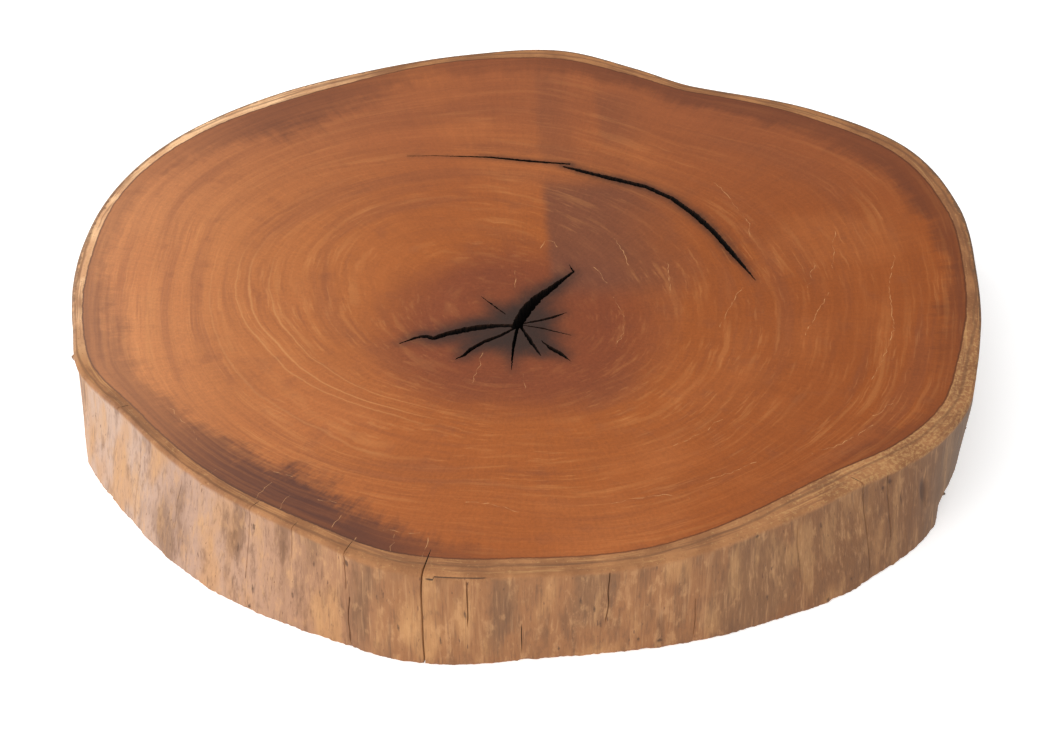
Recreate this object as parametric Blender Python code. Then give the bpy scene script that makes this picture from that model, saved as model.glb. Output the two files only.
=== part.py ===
"""A thick slice sawn across a hardwood trunk, with the bark taken off. It is one piece of wood.

Metres, +Z up. The origin is on the ground under the middle of the slice, and -Y is its front.
Angles are in degrees about the pith, from +X towards +Y. The upper sawn face is flat and level.
"""

import math

import bmesh
import bpy
from mathutils import Vector

MM = 0.001
THICKNESS = 0.108
PITH = Vector((-0.0082, -0.0893, 0.0))
ARRIS = 0.0025
COLUMNS = 180
SIDE_ROWS = 7

# The rim of the upper face: angle, millimetres from the pith.
RIM = (
    (0, 445), (12, 466), (24, 499), (37, 523), (50, 510), (66, 483), (75, 499),
    (85, 523), (97, 515), (110, 506), (123, 505), (138, 501), (150, 487), (165, 458),
    (180, 430), (189, 419), (199, 387), (210, 367), (228, 348), (238, 344), (252, 352),
    (272, 343), (290, 349), (308, 357), (322, 376), (334, 411), (343, 430), (352, 436),
)
# How far the foot of the trunk spreads past the rim above it: angle, millimetres.
FLARE = (
    (10, -7), (25, -4), (55, 6), (95, -4), (140, 5), (172, -4), (186, 1), (194, 13), (203, 19),
    (222, 21), (236, 15), (247, 5), (263, -1), (280, -8), (293, -2), (306, 10), (320, 20),
    (331, 11), (342, -3), (354, -8),
)
# Width of the pale sapwood between the rim and the heartwood: angle, millimetres.
SAPWOOD = (
    (10, 13), (30, 17), (47, 20), (63, 13), (85, 20), (100, 13), (120, 20), (132, 15), (150, 11),
    (165, 13), (180, 10), (190, 14), (205, 11), (235, 12), (255, 20), (285, 19), (303, 21),
    (320, 26), (335, 25), (352, 19),
)
# Long ripples of the trunk under the bark: ripples in a turn, height in mm, lean in radians, start.
FLUTES = ((9, 1.1, 0.6, 0.4), (17, 0.9, -0.9, 2.1), (31, 0.5, 1.4, 4.0))
# A piece has broken off the lower edge at the right: angle, half width in degrees, height, depth.
BROKEN_EDGE = (346, 9, 0.030, 0.009)


def smooth_round(points, angle):
    """The value at an angle of a smooth closed curve through (angle, value) points."""
    angle %= 360.0
    turns = [(a + 360.0 * turn, value) for turn in (-1, 0, 1) for a, value in points]
    after = next(i for i, (a, _) in enumerate(turns) if a > angle)
    (a0, v0), (a1, v1), (a2, v2), (a3, v3) = turns[after - 2 : after + 2]
    span = a2 - a1
    t = (angle - a1) / span
    slope1 = (v2 - v0) / (a2 - a0) * span
    slope2 = (v3 - v1) / (a3 - a1) * span
    return (
        (2 * t**3 - 3 * t**2 + 1) * v1 + (t**3 - 2 * t**2 + t) * slope1
        + (3 * t**2 - 2 * t**3) * v2 + (t**3 - t**2) * slope2
    )


def about_pith(angle, radius, height):
    turn = math.radians(angle)
    return PITH + Vector((radius * math.cos(turn), radius * math.sin(turn), height))


def side_radius(angle, height):
    """Metres from the pith's line to the peeled outside of the trunk."""
    down = 1.0 - height / THICKNESS
    spread = 0.5 * down + 0.5 * (3.0 * down**2 - 2.0 * down**3)
    radius = smooth_round(RIM, angle) + spread * smooth_round(FLARE, angle)
    turn = math.radians(angle)
    for ripples, depth, lean, start in FLUTES:
        radius += down * depth * math.sin(ripples * turn + lean * down + start)
    centre, half_width, top, depth = BROKEN_EDGE
    away = abs((angle - centre + 180.0) % 360.0 - 180.0) / half_width
    if away < 1.0 and height < top:
        radius -= depth / MM * (1.0 - away**2) * min(1.0, (top - height) / (0.4 * top))
    return radius * MM


def heartwood_radius(angle):
    return (smooth_round(RIM, angle) - smooth_round(SAPWOOD, angle)) * MM


def foot_heartwood_radius(angle):
    return side_radius(angle, 0.0) - smooth_round(SAPWOOD, angle) * MM


# What the solid's faces are: the order of its materials.
HEARTWOOD, SAPWOOD_FACE, CRACK = range(3)


def wood_materials():
    finishes = (
        ("heartwood_oiled", (0.42, 0.16, 0.05, 1.0), 0.42),
        ("sapwood_peeled", (0.50, 0.31, 0.16, 1.0), 0.85),
        ("crack_dark", (0.012, 0.009, 0.008, 1.0), 1.0),
    )
    made = []
    for name, colour, roughness in finishes:
        material = bpy.data.materials.new(name)
        material.use_nodes = True
        shader = material.node_tree.nodes["Principled BSDF"]
        shader.inputs["Base Color"].default_value = colour
        shader.inputs["Roughness"].default_value = roughness
        shader.inputs["Metallic"].default_value = 0.0
        made.append(material)
    return made


def loft(mesh, rings, material):
    """Quads between rings of vertices that all have the same count and direction."""
    for lower, upper in zip(rings, rings[1:]):
        count = len(lower)
        for i in range(count):
            j = (i + 1) % count
            face = mesh.faces.new((lower[i], lower[j], upper[j], upper[i]))
            face.material_index = material
            face.smooth = True


def trunk_slice(materials):
    """The slice before it cracked: two flat sawn faces and the peeled side between them."""
    mesh = bmesh.new()
    angles = [360.0 * i / COLUMNS for i in range(COLUMNS)]

    def ring(radius_at, height):
        return [mesh.verts.new(about_pith(a, radius_at(a), height)) for a in angles]

    heights = [ARRIS + (THICKNESS - 2 * ARRIS) * i / SIDE_ROWS for i in range(SIDE_ROWS + 1)]
    foot_heart = ring(foot_heartwood_radius, 0.0)
    foot_rim = ring(lambda a: side_radius(a, 0.0) - ARRIS, 0.0)
    side = [ring(lambda a, z=z: side_radius(a, z), z) for z in heights]
    top_rim = ring(lambda a: side_radius(a, THICKNESS) - ARRIS, THICKNESS)
    top_heart = ring(heartwood_radius, THICKNESS)
    loft(mesh, [foot_heart, foot_rim, *side, top_rim, top_heart], SAPWOOD_FACE)
    for edge in (list(reversed(foot_heart)), top_heart):
        face = mesh.faces.new(edge)
        face.material_index = HEARTWOOD
    mesh.normal_update()
    data = bpy.data.meshes.new("wood_slice")
    mesh.to_mesh(data)
    mesh.free()
    for material in materials:
        data.materials.append(material)
    data.set_sharp_from_angle(angle=math.radians(35))
    part = bpy.data.objects.new("wood_slice", data)
    bpy.context.scene.collection.objects.link(part)
    return part


# Heart checks: each runs out from the pith, as (x, y, width) in millimetres from the pith.
# The depth is how far down it reaches from the sawn face at its widest place.
HEART_CHECKS = {
    "rear_right": (80, ((-4, -3, 6), (1, 8, 10), (7, 25, 12), (17, 43, 11), (29, 57, 8),
                        (41, 72, 5), (54, 88, 2), (51, 98, 1))),
    "left": (70, ((4, 0, 5), (-16, 0, 5), (-44, -4, 8), (-69, -13, 7), (-82, -20, 5),
                  (-93, -17, 4), (-102, -21, 3), (-114, -28, 1))),
    "front_left": (45, ((3, 3, 3), (-17, -15, 3.5), (-45, -36, 4.5), (-52, -46, 3.5), (-60, -52, 1))),
    "front": (45, ((0, 4, 3), (-4, -20, 3.5), (-6, -42, 2.5), (-7, -68, 0.8))),
    "front_right": (40, ((0, 2, 3), (9, -19, 4), (16, -36, 3), (21, -47, 1))),
    "far_front_right": (35, ((21, -23, 1), (30, -35, 4), (39, -43, 4.5), (49, -55, 1))),
    "right": (35, ((2, 3, 2), (19, 8, 3), (32, 13, 3.5), (46, 21, 1))),
    "right_low": (25, ((3, 1, 1.5), (22, -4, 2), (50, -15, 0.8))),
    "rear_left": (20, ((-35, 44, 0.8), (-24, 31, 2), (-13, 18, 1))),
}
# The ring shake: the wood has come apart along one growth ring, as (angle, radius, width).
RING_SHAKE_DEPTH = 55
RING_SHAKE = (
    ((111, 319, 0.8), (103, 305, 1.2), (96, 297, 3), (88, 288, 4), (79.5, 287, 3)),
    ((80, 280, 2.5), (73, 275, 5), (68, 272, 7), (61, 273, 6), (54, 269, 6), (46, 260, 7),
     (39, 253, 6.5), (31, 246, 6), (24.5, 244, 4), (17.5, 245, 0.8)),
)
# Rim checks, open down the side: angle, width in mm, how far in, lowest and highest share of height.
RIM_CHECKS = (
    (198.5, 2.0, 9, 0.86, 1.1), (206.0, 1.6, 12, 0.10, 0.80), (227.9, 1.8, 12, 0.45, 1.1),
    (244.9, 2.2, 16, 0.05, 1.1), (256.5, 2.6, 26, -0.1, 1.1), (262.8, 1.8, 12, 0.45, 0.95),
    (282.9, 2.2, 16, 0.35, 0.96), (327.0, 2.4, 14, 0.30, 0.97), (48.0, 2.0, 16, 0.20, 0.85),
    (93.0, 2.4, 22, -0.1, 0.85), (141.0, 1.8, 14, 0.30, 0.9), (168.0, 2.0, 12, 0.05, 0.7),
)
# A crack narrows as it goes in: share of its depth, share of its width at the face.
CRACK_TAPER = ((0.45, 0.7), (1.0, 0.12))
# The thinnest end of a crack is still this share as deep as its widest place.
CRACK_END_REACH = 0.25
# Cutters stand this far out of the face they cut.
PAST_FACE = 0.002
# The widest heart checks show on the underside too, narrower and shallower.
UNDERSIDE_CHECKS = ("rear_right", "left", "front_left", "front_right", "right")
UNDERSIDE_WIDTH, UNDERSIDE_DEPTH = 0.6, 0.17


def solid_from_sections(name, sections, materials):
    """A closed helper solid through sections that all have the same number of points."""
    mesh = bmesh.new()
    rows = [[mesh.verts.new(point) for point in section] for section in sections]
    count = len(rows[0])
    for near, far in zip(rows, rows[1:]):
        for i in range(count):
            j = (i + 1) % count
            mesh.faces.new((near[i], far[i], far[j], near[j]))
    mesh.faces.new(rows[0])
    mesh.faces.new(list(reversed(rows[-1])))
    bmesh.ops.recalc_face_normals(mesh, faces=mesh.faces)
    for face in mesh.faces:
        face.material_index = CRACK
    data = bpy.data.meshes.new(name)
    mesh.to_mesh(data)
    mesh.free()
    for material in materials:
        data.materials.append(material)
    cutter = bpy.data.objects.new(name, data)
    cutter.hide_render = True
    cutter.display_type = "WIRE"
    bpy.context.scene.collection.objects.link(cutter)
    return cutter


def crack_solid(name, stations, depth, upward, materials):
    """A crack as a blade that narrows with depth. upward is 1 on the top face and -1 underneath."""
    widest = max(width for _, _, width in stations)
    face_height = THICKNESS if upward > 0 else 0.0
    centres = [PITH + Vector((x * MM, y * MM, face_height)) for x, y, _ in stations]
    sections = []
    for i, centre in enumerate(centres):
        ahead = centres[min(i + 1, len(centres) - 1)] - centres[max(i - 1, 0)]
        across = Vector((-ahead.y, ahead.x, 0.0)).normalized()
        half = stations[i][2] * MM / 2
        reach = depth * MM * (CRACK_END_REACH + (1.0 - CRACK_END_REACH) * stations[i][2] / widest)
        levels = [(PAST_FACE, 1.0)] + [(-share * reach, wide) for share, wide in CRACK_TAPER]
        left = [centre + across * half * wide + Vector((0, 0, upward * up)) for up, wide in levels]
        right = [centre - across * half * wide + Vector((0, 0, upward * up)) for up, wide in levels]
        sections.append(left + list(reversed(right)))
    return solid_from_sections(name, sections, materials)


def rim_check_solid(name, angle, width, inward, low, high, materials):
    """A drying crack in the side: a thin wedge with its edge towards the pith.

    It dies out where it ends between the sawn faces, and runs on past a face that it reaches.
    """
    half_turn = math.degrees(0.5 * width * MM / side_radius(angle, THICKNESS / 2))
    sections = []
    for share, dies_out in ((low, low > 0.0), ((low + high) / 2, False), (high, high < 1.0)):
        height = share * THICKNESS
        outside = side_radius(angle, min(max(height, 0.0), THICKNESS))
        size = CRACK_END_REACH if dies_out else 1.0
        mouth, tip = half_turn * size, half_turn * size * CRACK_TAPER[-1][1]
        beyond, within = outside + PAST_FACE, outside - inward * MM * size
        sections.append([
            about_pith(angle - mouth, beyond, height), about_pith(angle + mouth, beyond, height),
            about_pith(angle + tip, within, height), about_pith(angle - tip, within, height),
        ])
    return solid_from_sections(name, sections, materials)


def all_cracks(materials):
    for name, (depth, stations) in HEART_CHECKS.items():
        yield crack_solid(f"cut_check_{name}", stations, depth, 1, materials)
    for name in UNDERSIDE_CHECKS:
        depth, stations = HEART_CHECKS[name]
        narrow = [(x, y, width * UNDERSIDE_WIDTH) for x, y, width in stations]
        yield crack_solid(f"cut_under_{name}", narrow, depth * UNDERSIDE_DEPTH, -1, materials)
    for number, arc in enumerate(RING_SHAKE, 1):
        stations = []
        for angle, radius, width in arc:
            turn = math.radians(angle)
            stations.append((radius * math.cos(turn), radius * math.sin(turn), width))
        yield crack_solid(f"cut_shake_{number}", stations, RING_SHAKE_DEPTH, 1, materials)
    for number, check in enumerate(RIM_CHECKS, 1):
        yield rim_check_solid(f"cut_rim_{number}", *check, materials)


def clear_scene():
    for thing in list(bpy.data.objects):
        bpy.data.objects.remove(thing, do_unlink=True)


def main():
    clear_scene()
    materials = wood_materials()
    part = trunk_slice(materials)
    for cutter in all_cracks(materials):
        cut = part.modifiers.new(cutter.name, "BOOLEAN")
        cut.operation = "DIFFERENCE"
        cut.solver = "EXACT"
        cut.material_mode = "INDEX"
        cut.object = cutter


main()
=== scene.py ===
import math

import bpy
import numpy as np
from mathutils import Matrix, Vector, noise
from mathutils.geometry import delaunay_2d_cdt


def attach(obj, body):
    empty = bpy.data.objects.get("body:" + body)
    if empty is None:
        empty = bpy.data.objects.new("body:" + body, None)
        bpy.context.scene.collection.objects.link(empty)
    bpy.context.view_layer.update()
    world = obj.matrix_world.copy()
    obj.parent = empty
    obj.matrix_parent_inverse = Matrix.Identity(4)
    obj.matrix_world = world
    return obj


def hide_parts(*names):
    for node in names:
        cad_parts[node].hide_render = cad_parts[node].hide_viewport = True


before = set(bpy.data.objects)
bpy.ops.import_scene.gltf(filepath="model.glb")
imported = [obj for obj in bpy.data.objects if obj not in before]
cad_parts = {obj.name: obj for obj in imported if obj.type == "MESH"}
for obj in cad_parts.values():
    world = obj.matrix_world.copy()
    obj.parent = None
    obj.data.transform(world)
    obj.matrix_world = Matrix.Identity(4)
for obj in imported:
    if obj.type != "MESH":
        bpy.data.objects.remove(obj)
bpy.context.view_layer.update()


# The trunk: a tropical hardwood grown out of round, widest behind its pith, which the saw
# cut square across. Sizes are in millimetres, and turns in degrees about the pith.
THICKNESS = 108.0
PITH_X, PITH_Y = -8.2, -89.3
# The polished face's rim, as turn and radius.
RIM = (
    (0, 445), (12, 466), (24, 499), (37, 523), (50, 510), (66, 483), (75, 499),
    (85, 523), (97, 515), (110, 506), (123, 505), (138, 501), (150, 487), (165, 458),
    (180, 430), (189, 419), (199, 387), (210, 367), (228, 348), (238, 344), (252, 352),
    (272, 343), (290, 349), (308, 357), (322, 376), (334, 411), (343, 430), (352, 436),
)
# How much further out the foot is than the rim, as turn and distance.
FOOT_SPREAD = (
    (10, -7), (25, -4), (55, 6), (95, -4), (140, 5), (172, -4), (186, 1), (194, 13), (203, 19),
    (222, 21), (236, 15), (247, 5), (263, -1), (280, -8), (293, -2), (306, 10), (320, 20),
    (331, 11), (342, -3), (354, -8),
)
# A chip is broken out of the foot at the right.
BROKEN_AT, BROKEN_HALF_WIDTH, BROKEN_HEIGHT, BROKEN_DEPTH = 346.0, 9.0, 30.0, 9.0


def round_curve(points, turn):
    """Values at the angles in turn of a smooth closed curve through (angle, value) points."""
    angle, value = np.array(points, float).T
    angle = np.concatenate([angle - 360.0, angle, angle + 360.0])
    value = np.tile(value, 3)
    slope = (np.roll(value, -1) - np.roll(value, 1)) / (np.roll(angle, -1) - np.roll(angle, 1))
    turn = np.mod(turn, 360.0)
    i = np.searchsorted(angle, turn, side="right") - 1
    span = angle[i + 1] - angle[i]
    t = (turn - angle[i]) / span
    return (
        (2 * t**3 - 3 * t**2 + 1) * value[i] + (t**3 - 2 * t**2 + t) * span * slope[i]
        + (3 * t**2 - 2 * t**3) * value[i + 1] + (t**3 - t**2) * span * slope[i + 1]
    )


def apart(turn, other):
    """Degrees from one angle to another, the short way round."""
    return np.mod(turn - other + 180.0, 360.0) - 180.0


def trunk_radius(turn, height):
    """From the pith to the peeled outside of the trunk, in millimetres."""
    down = 1.0 - height / THICKNESS
    spread = 0.5 * down + 0.5 * (3.0 * down**2 - 2.0 * down**3)
    radius = round_curve(RIM, turn) + spread * round_curve(FOOT_SPREAD, turn)
    across = np.clip(1.0 - (apart(turn, BROKEN_AT) / BROKEN_HALF_WIDTH) ** 2, 0.0, 1.0)
    below = np.clip((BROKEN_HEIGHT - height) / (0.4 * BROKEN_HEIGHT), 0.0, 1.0)
    return radius - BROKEN_DEPTH * across * below


def lumps(points, size, seed, stretch=(1.0, 1.0, 1.0)):
    """Smooth noise from -1 to 1 at each point, with lumps of that size in millimetres."""
    scaled = np.asarray(points, float) / (size * np.array(stretch)) + 17.3 * seed
    flat = scaled.reshape(-1, 3)
    return np.array([noise.noise(Vector(p)) for p in flat]).reshape(scaled.shape[:-1])


# The side: sapwood that the bark was peeled from with a drawknife. It keeps the long ripples
# of the trunk, drying checks that run with the grain, and short dark flecks where bark held.
FRONT_TURNS = (184.0, 356.0)
FRONT_STEP, BACK_STEP = 0.21, 0.40
SIDE_ROWS = 32
# The edges are rounded over a little: all round the foot alike, at the rim by turn and radius.
FOOT_ARRIS = 1.6
RIM_ARRIS = (
    (186, 3.0), (200, 2.2), (240, 2.6), (258, 6.5), (285, 7.0), (300, 4.2), (320, 3.0),
    (345, 3.0), (40, 2.6), (120, 2.5), (165, 2.5),
)
# Checks: turn, width, how far in, lowest and highest share of the height, how much it wanders.
CHECKS = (
    (198.5, 1.3, 9, 0.88, 1.2, 0.5), (204.5, 0.9, 6, 0.05, 0.80, 3.0),
    (227.9, 1.0, 10, 0.30, 1.2, 2.0), (244.9, 1.1, 12, 0.62, 1.2, 1.5),
    (245.4, 0.9, 12, 0.05, 0.55, 2.0), (256.5, 1.7, 24, -0.2, 1.2, 1.6),
    (262.8, 1.1, 12, 0.45, 0.93, 1.0), (282.9, 1.2, 14, 0.40, 0.97, 2.5),
    (327.0, 1.4, 12, 0.30, 0.97, 1.2), (235.6, 0.8, 6, 0.70, 1.2, 0.6),
    (270.5, 0.8, 5, 0.10, 0.42, 1.5), (296.0, 0.8, 6, 0.08, 0.50, 2.0),
    (312.0, 0.8, 6, 0.42, 0.86, 2.0), (323.2, 1.3, 10, 0.12, 1.2, 1.2),
    (214.0, 0.8, 5, 0.30, 0.90, 3.0), (48.0, 1.4, 16, 0.20, 0.85, 2.0),
    (93.0, 1.7, 22, -0.2, 0.85, 2.0), (141.0, 1.3, 14, 0.30, 0.90, 1.5),
    (168.0, 1.4, 12, 0.05, 0.70, 1.5), (20.0, 1.0, 9, 0.35, 0.95, 2.0),
    (70.0, 0.9, 8, 0.0, 0.6, 1.5), (118.0, 1.1, 10, 0.1, 0.7, 2.0),
)
# Flecks seen in front: turn, height, half width, half length.
FLECKS = (
    (228.6, 88, 2.0, 5.0), (229.3, 24, 1.6, 7), (226.2, 60, 1.3, 8), (245.2, 96, 2.6, 5.0),
    (262.5, 62, 1.5, 7), (281.0, 60, 1.6, 6), (279.0, 72, 1.4, 6), (282.0, 40, 1.3, 7),
    (268.0, 92, 1.2, 2), (305.4, 102, 2.2, 3), (307.0, 30, 1.6, 5), (327.4, 96, 2.8, 4.0),
    (326.3, 92, 1.8, 4), (329.0, 70, 1.3, 9), (333.2, 62, 5.4, 20), (287.8, 14, 1.8, 4),
    (291.0, 9, 4.0, 3), (276.0, 12, 1.5, 4), (236.0, 36, 1.4, 5), (240.5, 50, 1.2, 6),
    (250.0, 70, 1.2, 5), (253.0, 40, 1.4, 6), (259.0, 30, 1.3, 8), (316.0, 84, 1.6, 4),
    (320.0, 14, 1.5, 4),
)
# Splinters that stand out: turn, height, how far out.
SPLINTERS = (
    (341.5, 12, 5.0), (351.0, 36, 4.5), (186.0, 104, 2.5), (316.0, 4, 2.0), (229.0, 5, 1.8),
    (24.0, 50, 3.0),
)
# A slit lies along the arris in front: from and to which turn, and how deep.
EDGE_SLIT, EDGE_SLIT_DEPTH = (256.2, 266.4), 1.6
# The hollow under the rim at the left: turn, half width in degrees and depth.
HOLLOW_AT, HOLLOW_HALF_WIDTH, HOLLOW_DEPTH = 191.0, 6.0, 4.5
# The torn lips below the arris: turn, half width in degrees and share of the full height.
LIPS = ((222.0, 32.0, 1.0), (328.0, 20.0, 0.7))
LIP_BELOW_RIM, LIP_HALF_HEIGHT = 3.5, 2.2
# The saw tore the fibres this high up the lower edge.
TORN_HEIGHT = 5.0

in_front = np.arange(FRONT_TURNS[0], FRONT_TURNS[1], FRONT_STEP)
behind = np.arange(FRONT_TURNS[1], FRONT_TURNS[0] + 360.0, BACK_STEP)
turns = np.concatenate([in_front, behind])
for at, width, *_ in CHECKS:
    per_mm = math.degrees(1.0 / round_curve(RIM, at))
    turns = turns[np.abs(apart(turns, at)) > 1.1 * width * per_mm]
    offsets = np.array([-0.95, -0.5, -0.14, 0.14, 0.5, 0.95]) * width * per_mm
    turns = np.concatenate([turns, at + offsets])
turns = np.sort(np.mod(turns, 360.0))
columns = len(turns)

arris = round_curve(RIM_ARRIS, turns)
heights, insets = [np.zeros(columns)], [np.full(columns, FOOT_ARRIS)]
for quarter in (0.5, 1.0):
    lift = FOOT_ARRIS * (1.0 - math.cos(quarter * math.pi / 2))
    heights.append(np.full(columns, lift))
    insets.append(np.full(columns, FOOT_ARRIS * (1.0 - math.sin(quarter * math.pi / 2))))
for row in range(1, SIDE_ROWS + 1):
    share = row / SIDE_ROWS
    heights.append(FOOT_ARRIS + share * (THICKNESS - arris - FOOT_ARRIS))
    insets.append(np.zeros(columns))
for quarter in (0.25, 0.5, 0.75, 1.0):
    heights.append(THICKNESS - arris * (1.0 - math.sin(quarter * math.pi / 2)))
    insets.append(arris * (1.0 - math.cos(quarter * math.pi / 2)))
height = np.array(heights)
inset = np.array(insets)
turn = np.tile(turns, (len(height), 1))
share = height / THICKNESS

reach = trunk_radius(turn, height)
girth = round_curve(RIM, turn)


def on_trunk(turn, radius, height):
    return np.stack([
        radius * np.cos(np.radians(turn)), radius * np.sin(np.radians(turn)), height], axis=-1)


outside = on_trunk(turn, reach, height)
split = np.zeros_like(reach)
fleck = np.zeros_like(reach)
# The drawknife's ripples run up the trunk and are 55, 20, 7 and 3.2 mm across.
relief = 1.3 * lumps(outside, 55.0, 1, (1, 1, 3.0)) + 0.7 * lumps(outside, 20.0, 2, (1, 1, 3.5))
relief += 0.45 * lumps(outside, 7.0, 3, (1, 1, 7.0)) + 0.22 * lumps(outside, 3.2, 4, (1, 1, 9.0))
relief *= np.clip((THICKNESS - height) / 14.0, 0.12, 1.0)
torn = 0.8 * lumps(outside, 6.0, 5, (1, 1, 2.0)) + 0.9 * lumps(outside, 3.4, 6, (1, 1, 2.0))
relief += 1.1 * torn * np.clip(1.0 - height / TORN_HEIGHT, 0.0, 1.0)
hollow = np.exp(-((apart(turn, HOLLOW_AT) / HOLLOW_HALF_WIDTH) ** 2))
hollow *= np.clip((0.95 - share) / 0.06, 0, 1)
relief -= HOLLOW_DEPTH * hollow * np.clip((share - 0.2) / 0.5, 0, 1)
lip = np.zeros_like(reach)
for at, half_width, part in LIPS:
    lip += part * np.clip(1.0 - np.abs(apart(turn, at)) / half_width, 0, 1)
lip *= np.exp(-(((THICKNESS - height - LIP_BELOW_RIM) / LIP_HALF_HEIGHT) ** 2))
relief += lip * (1.6 + 1.5 * lumps(outside, 14.0, 7))
for at, width, inward, low, high, wander in CHECKS:
    stray = wander * lumps(np.stack([0 * height, 0 * height, height], -1), 28.0, at)
    beside = np.radians(apart(turn, at)) * girth
    near = np.exp(-((beside / (3.0 + 2.0 * wander)) ** 2))
    turn = turn + np.degrees(stray * near / girth)
    mouth = np.clip(1.0 - np.abs(beside) / (0.5 * width), 0.0, 1.0)
    ends = np.clip((share - low) / 0.10, 0, 1) * np.clip((high - share) / 0.10, 0, 1)
    relief = relief - inward * np.minimum(1.0, 1.4 * mouth) * ends
    split = np.maximum(split, np.clip(1.6 * mouth, 0, 1) * ends)
for at, level, half_width, half_length in FLECKS:
    beside = np.radians(apart(turn, at)) * girth + 0.12 * (height - level)
    from_middle = np.sqrt((beside / half_width) ** 2 + ((height - level) / half_length) ** 2)
    dent = np.clip(1.25 - from_middle, 0.0, 1.0)
    fleck = np.maximum(fleck, dent * min(1.0, half_width / 1.4))
    relief = relief - 0.5 * half_width * dent
for at, level, out in SPLINTERS:
    beside = np.radians(apart(turn, at)) * girth
    spike = np.clip(1.3 - np.abs(beside) / 2.0, 0, 1) * np.clip(1.3 - np.abs(height - level) / 3.2, 0, 1)
    relief = relief + out * spike
    fleck = np.maximum(fleck, spike)
# The slit runs along the last level row below the arris.
edge_slit = np.zeros_like(reach)
ends = np.clip((turns - EDGE_SLIT[0]) / 1.2, 0, 1) * np.clip((EDGE_SLIT[1] - turns) / 1.2, 0, 1)
edge_slit[2 + SIDE_ROWS] = ends
relief[2 + SIDE_ROWS] -= EDGE_SLIT_DEPTH * ends
side_place = on_trunk(turn, reach - inset + relief, height)
rows = len(side_place)

# The slice is one closed skin. Each section adds its own corners and faces to it, and says
# which finish a face has and whether it is a fine check full of dust.
# A crack's walls and floor are painted near black, as painted shade, so that it looks deep.
PEELED, CRACK_WALL_SHADE, OILED, SAWN = range(4)
corners, faces, finish, dusty, materials = [], [], [], [], []


def add_corners(places):
    """Adds corners to the skin, and tells where they start."""
    corners.extend(map(tuple, places))
    return len(corners) - len(places)


add_corners(side_place.reshape(-1, 3))
for r in range(rows - 1):
    for c in range(columns):
        d = (c + 1) % columns
        faces.append((r * columns + c, r * columns + d, (r + 1) * columns + d, (r + 1) * columns + c))
        finish.append(PEELED)
        dusty.append(0.0)


# Peeled sapwood, left as the drawknife left it and weathered: matt, with long fibres.
def linear(hex_colour):
    """An sRGB hex colour as the linear colour that a node takes."""
    parts = [int(hex_colour[i : i + 2], 16) / 255.0 for i in (1, 3, 5)]
    return [p / 12.92 if p <= 0.04045 else ((p + 0.055) / 1.055) ** 2.4 for p in parts] + [1.0]


def new_material(name):
    material = bpy.data.materials.new(name)
    material.use_nodes = True
    return material, material.node_tree, material.node_tree.nodes["Principled BSDF"]


def add_node(kind, inputs=(), out=0, **settings):
    """Adds a node to the tree in hand, with its settings and links, and gives one of its outputs."""
    made = tree.nodes.new("ShaderNode" + kind)
    for name, value in settings.items():
        setattr(made, name, value)
    for name, value in dict(inputs).items():
        if isinstance(value, bpy.types.NodeSocket):
            tree.links.new(value, made.inputs[name])
        else:
            made.inputs[name].default_value = value
    return made.outputs[out]


def tinted(under, pattern, low, high, most, tint):
    """A colour that goes over to a tint as the pattern goes from low to high."""
    part = add_node("MapRange", {"Value": pattern, "From Min": low, "From Max": high,
                                 "To Max": most}, interpolation_type="SMOOTHSTEP")
    return add_node("Mix", {0: part, 6: under, 7: linear(tint)}, 2, data_type="RGBA")


peeled, tree, shader = new_material("peeled_sapwood")
materials.append(peeled)
spot = add_node("TexCoord", out="Object")


def fibre_noise(size_mm, length_mm, detail=3.0, roughness=0.6, lean=0.0):
    """Noise drawn out up the trunk, in streaks of that width and length that may lean."""
    place = add_node("Mapping", {0: spot, "Rotation": (0.0, lean, 0.0),
                                 "Scale": (1000 / size_mm, 1000 / size_mm, 1000 / length_mm)})
    return add_node("TexNoise", {"Vector": place, "Scale": 1.0, "Detail": detail,
                                 "Roughness": roughness})


to_right = add_node("SeparateXYZ", {0: spot}, "X")
level = add_node("SeparateXYZ", {0: spot}, "Z")
blotches = fibre_noise(62.0, 190.0, 2.0)
patches = fibre_noise(25.0, 120.0, 4.0, 0.62)
mottle = fibre_noise(11.0, 24.0, 4.0, 0.65)
streaks = fibre_noise(8.0, 120.0, 4.0, 0.7)
fibres = fibre_noise(2.0, 34.0, 3.0)
hairs = fibre_noise(0.9, 12.0, 2.0)
slits = fibre_noise(2.2, 10.0, 1.0, 0.5, 0.20)
# Paler towards the left and darker towards the right: partly the wood's own tone, partly painted light from
# the left and painted shade on the right.
bare = tinted(linear("#97653D"), to_right, -0.10, -0.32, 0.95, "#BC967D")
bare = tinted(bare, to_right, 0.10, 0.34, 0.92, "#70482A")
bare = tinted(bare, to_right, -0.24, -0.33, 0.40, "#9C8074")
bare = tinted(bare, to_right, -0.31, -0.38, 0.45, "#CDB09C")
bare = tinted(bare, blotches, 0.47, 0.36, 0.60, "#BC8957")
bare = tinted(bare, blotches, 0.53, 0.66, 0.65, "#7A5638")
bare = tinted(bare, patches, 0.52, 0.66, 0.60, "#6E4A2F")
bare = tinted(bare, patches, 0.47, 0.34, 0.40, "#C4935F")
bare = tinted(bare, mottle, 0.53, 0.68, 0.38, "#6B472E")
bare = tinted(bare, mottle, 0.47, 0.33, 0.34, "#CC9A68")
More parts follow.
